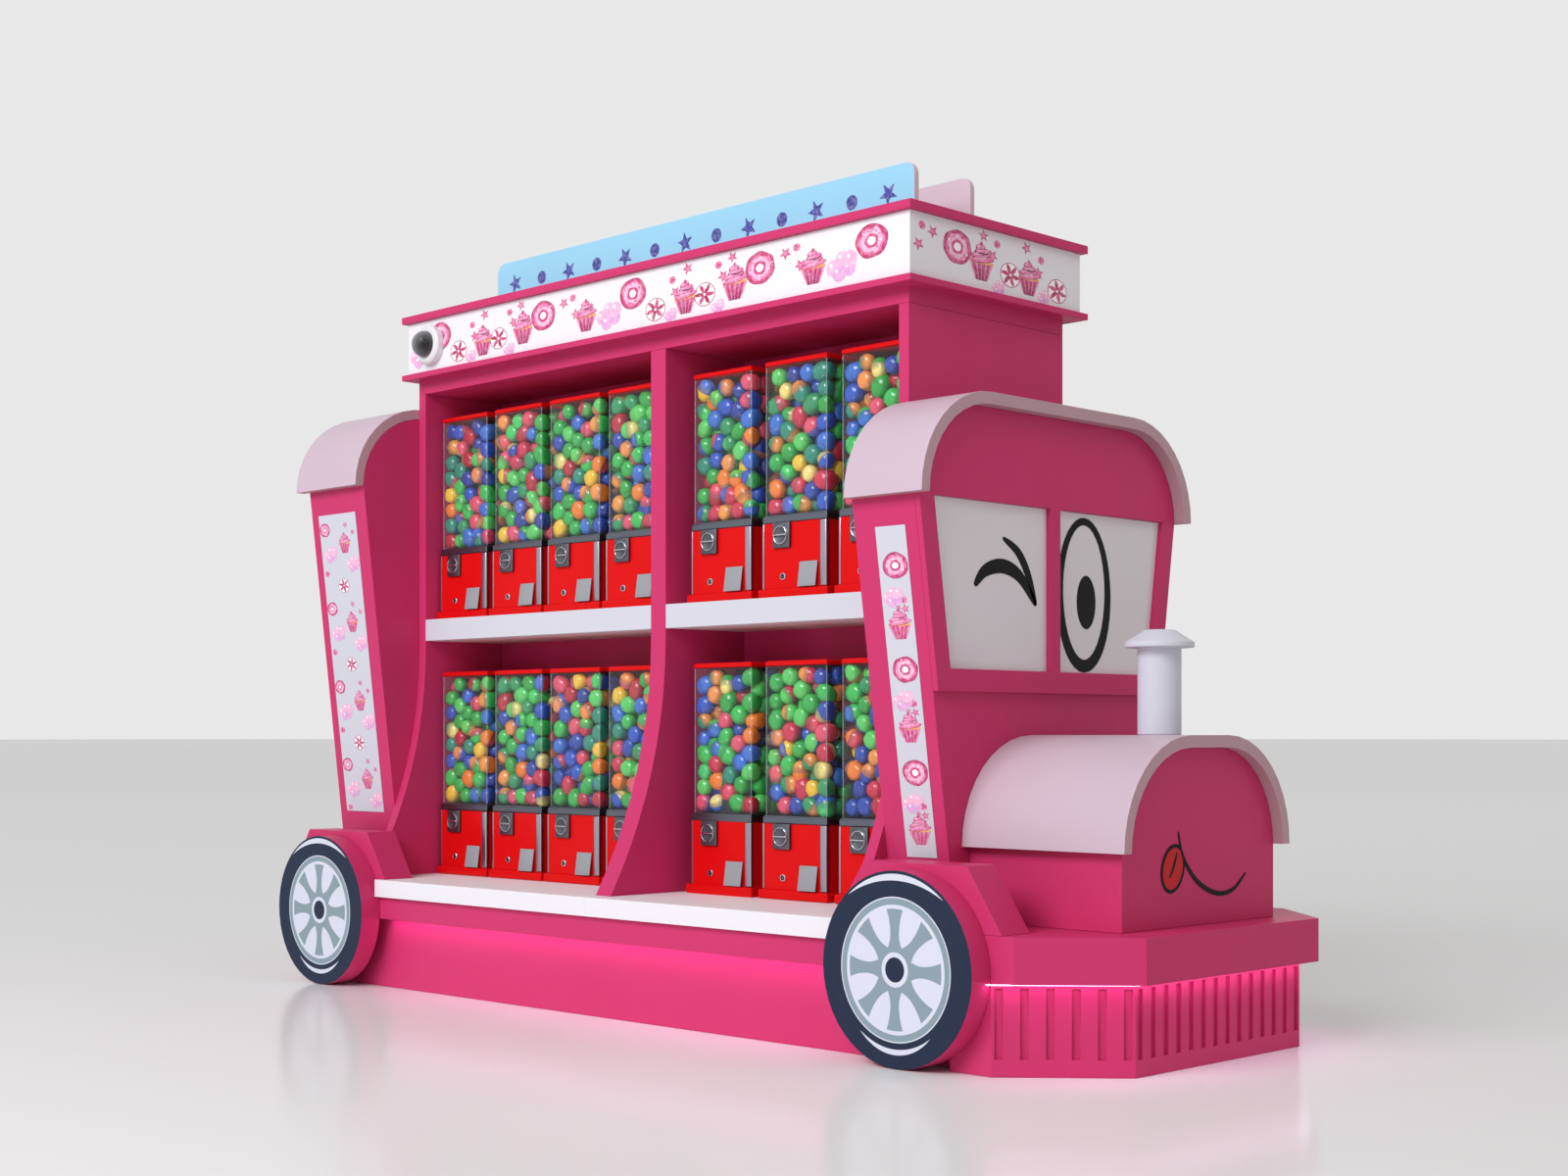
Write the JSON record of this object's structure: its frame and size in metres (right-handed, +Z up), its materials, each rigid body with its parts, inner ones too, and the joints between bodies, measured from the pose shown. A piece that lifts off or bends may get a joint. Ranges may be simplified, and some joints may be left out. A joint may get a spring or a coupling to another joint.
{
  "type": "capsule vending kiosk",
  "caption": "Two-sided display kiosk shaped like a toy train, holding coin-operated toy capsule vending machines on two levels.",
  "frame": {"origin": "on the floor, under the middle of the bounding box", "axes": "+X towards the train's nose, -Y towards a customer on the right side, +Z up"},
  "size_m": [3.524, 1.3886, 2.5],
  "materials": {
    "pink_board": "satin",
    "white_board": "satin",
    "sign_board": "satin",
    "roof_board": "satin",
    "window_pane": "gloss",
    "wheel_drum": "satin",
    "camera_plastic": "satin",
    "camera_dome": "polished",
    "camera_eye": "satin",
    "stocked_machines": "gloss",
    "red_sheet": "gloss",
    "grey_steel": "satin",
    "cast_metal": "satin",
    "clear_canister": "polished",
    "white_plastic": "satin",
    "black_plastic": "matte"
  },
  "bodies": {
    "kiosk": {"plinth": "pink_board", "front_skirt": "pink_board", "rear_skirt": "pink_board", "base_deck": "pink_board", "counter_front": "white_board", "counter_rear": "white_board", "end_wall_front": "pink_board", "end_wall_rear": "pink_board", "divider": "pink_board", "partition_front": "pink_board", "partition_rear": "pink_board", "shelf_front_right": "white_board", "shelf_front_left": "white_board", "shelf_rear_right": "white_board", "shelf_rear_left": "white_board", "top_board": "pink_board", "fascia": "white_board", "cornice_cap": "pink_board", "sign_right": "sign_board", "sign_left": "sign_board", "cab_front_shell": "pink_board", "cab_front_roof": "roof_board", "window_frame": "pink_board", "window_pane_right": "window_pane", "window_pane_left": "window_pane", "cab_rear_shell": "pink_board", "cab_rear_roof": "roof_board", "hood_shell": "pink_board", "hood_roof": "roof_board", "chimney": "white_board", "fender_front_right": "pink_board", "fender_front_left": "pink_board", "fender_rear_right": "pink_board", "fender_rear_left": "pink_board", "wheel_front_right": "wheel_drum", "wheel_front_left": "wheel_drum", "wheel_rear_right": "wheel_drum", "wheel_rear_left": "wheel_drum", "camera_base": "camera_plastic", "camera_dome": "camera_dome", "vendor_row_lower_front_right": "stocked_machines", "vendor_row_lower_front_left": "stocked_machines", "vendor_row_lower_rear_right": "stocked_machines", "vendor_row_lower_rear_left": "stocked_machines", "vendor_row_upper_front_right": "stocked_machines", "vendor_row_upper_front_left": "stocked_machines", "vendor_row_upper_rear_right": "stocked_machines", "vendor_row_upper_rear_left": "stocked_machines", "vendor_cabinet": "red_sheet", "vendor_collar": "grey_steel", "vendor_canister": "clear_canister", "vendor_coin_plate": "cast_metal", "vendor_chute": "grey_steel", "vendor_coin_box": "black_plastic"},
    "knob": {"vendor_knob": "cast_metal"},
    "dispensing_wheel": {"vendor_dispensing_wheel": "white_plastic"},
    "flap": {"vendor_door": "grey_steel"},
    "lid": {"vendor_lid": "red_sheet"},
    "lock": {"vendor_lock": "cast_metal"},
    "camera_ball": {"camera_eye": "camera_eye"}
  },
  "joints": [
    {"name": "knob_turn", "type": "hinge", "parent": "kiosk", "child": "knob", "pos_m": [0.0855, -0.3011, 0.5513], "axis": [0, 1, 0], "continuous": true},
    {"name": "wheel_turn", "type": "hinge", "parent": "kiosk", "child": "dispensing_wheel", "pos_m": [0.133, -0.1605, 0.6121], "axis": [0, 0, 1], "continuous": true},
    {"name": "flap_swing", "type": "hinge", "parent": "kiosk", "child": "flap", "pos_m": [0.194, -0.2938, 0.4693], "axis": [-1, 0, 0], "range_deg": [-7, 75]},
    {"name": "lid_lift", "type": "slide", "parent": "kiosk", "child": "lid", "axis": [0, 0, 1], "range_m": [0, 0.095]},
    {"name": "lock_turn", "type": "hinge", "parent": "kiosk", "child": "lock", "pos_m": [0.087, -0.2908, 0.4298], "axis": [0, 1, 0], "range_deg": [0, 90]},
    {"name": "camera_turn", "type": "hinge", "parent": "kiosk", "child": "camera_ball", "pos_m": [-1.212, -0.4133, 2.192], "axis": [0, 1, 0], "range_deg": [-170, 170]}
  ],
  "couplings": [
    {"joint": "wheel_turn", "follows": "knob_turn", "ratio": 0.25}
  ]
}
